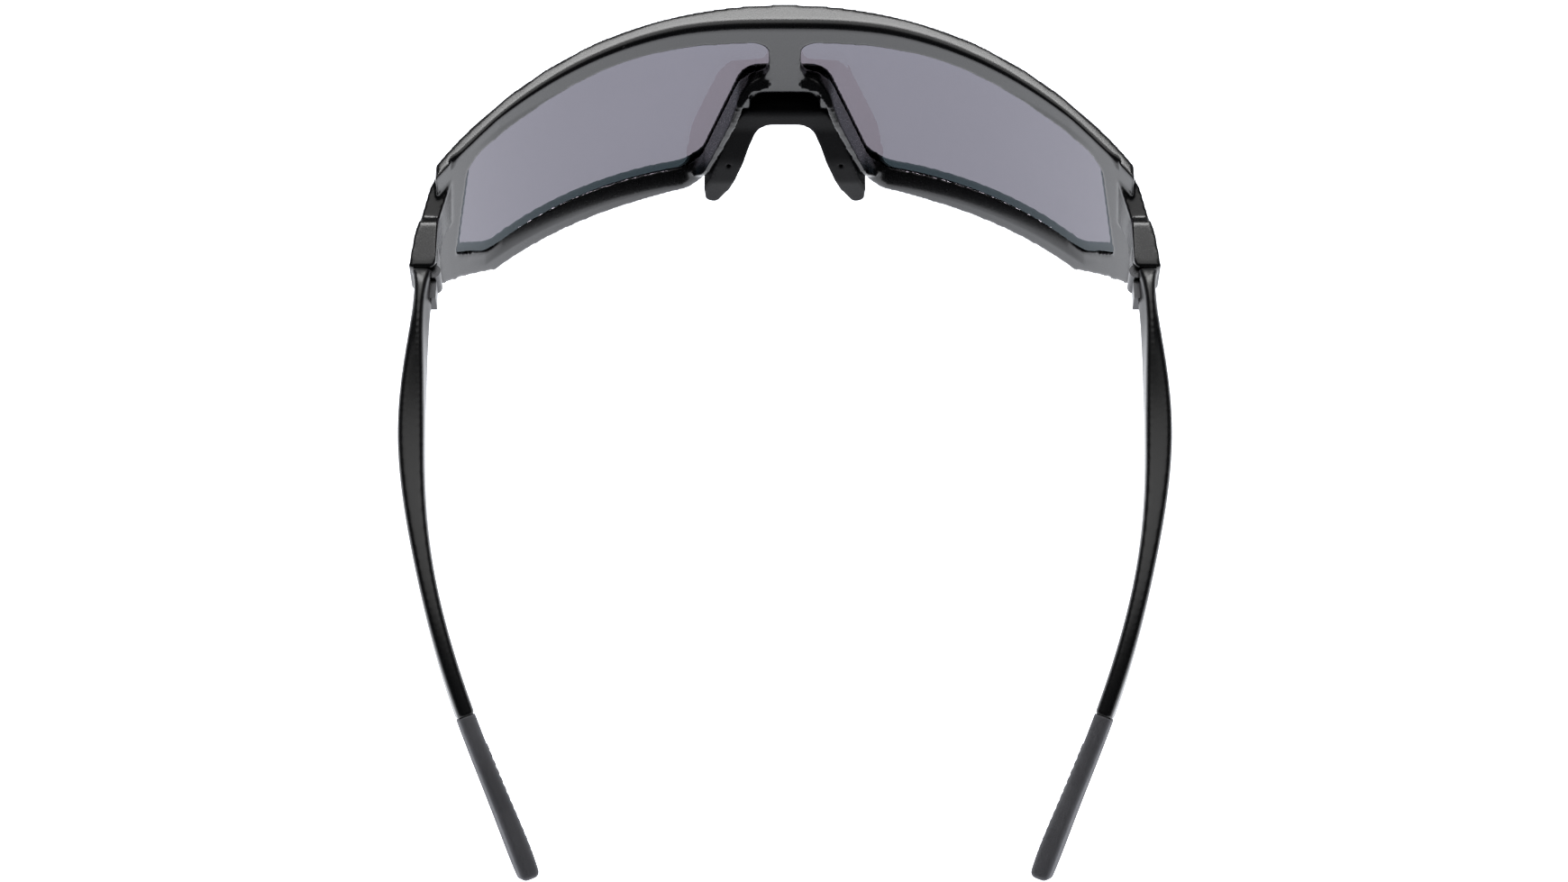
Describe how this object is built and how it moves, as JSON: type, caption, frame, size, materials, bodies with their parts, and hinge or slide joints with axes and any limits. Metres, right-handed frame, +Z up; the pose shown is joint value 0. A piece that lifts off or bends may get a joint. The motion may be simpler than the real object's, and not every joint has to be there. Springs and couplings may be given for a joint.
{
  "type": "wraparound sport sunglasses",
  "caption": "Wraparound sport sunglasses: one curved shield lens in a full moulded frame, soft nose saddle, folding temples with rubber tips.",
  "frame": {"origin": "bottom centre of the bounding box, on the table that the open sunglasses stand on", "axes": "+Z up; the front faces -Y and the open temples run back along +Y; +X is the wearer's left"},
  "size_m": [0.149, 0.169, 0.0501],
  "materials": {
    "moulded_nylon": "satin black moulded nylon",
    "temple_nylon": "satin black moulded nylon",
    "lens_tint": "grey-rose tint with a light mirror coat",
    "soft_rubber": "soft matte moulded rubber",
    "tip_rubber": "fine grained matte rubber",
    "grip_rubber": "ribbed matte rubber",
    "hinge_steel": "brushed stainless steel",
    "screw_steel": "turned stainless steel"
  },
  "bodies": {
    "front": {"front_frame": "moulded_nylon", "shield_lens": "lens_tint", "nose_pad": "soft_rubber", "nose_pad_core": "hinge_steel", "left_frame_hinge_leaf": "hinge_steel", "left_hinge_screw": "screw_steel", "right_frame_hinge_leaf": "hinge_steel", "right_hinge_screw": "screw_steel"},
    "left_temple": {"left_temple_hinge_leaf": "hinge_steel", "left_temple_arm": "temple_nylon", "left_temple_core_wire": "hinge_steel", "left_tip_sleeve": "tip_rubber", "left_tip_grip_pad": "grip_rubber"},
    "right_temple": {"right_temple_hinge_leaf": "hinge_steel", "right_temple_arm": "temple_nylon", "right_temple_core_wire": "hinge_steel", "right_tip_sleeve": "tip_rubber", "right_tip_grip_pad": "grip_rubber"}
  },
  "joints": [
    {"name": "left_temple_fold", "type": "hinge", "parent": "front", "child": "left_temple", "pos_m": [0.0682, -0.02847, 0.03725], "axis": [0, 0, 1], "range_deg": [0, 95]},
    {"name": "right_temple_fold", "type": "hinge", "parent": "front", "child": "right_temple", "pos_m": [-0.0682, -0.02847, 0.03725], "axis": [0, 0, -1], "range_deg": [0, 86]}
  ]
}
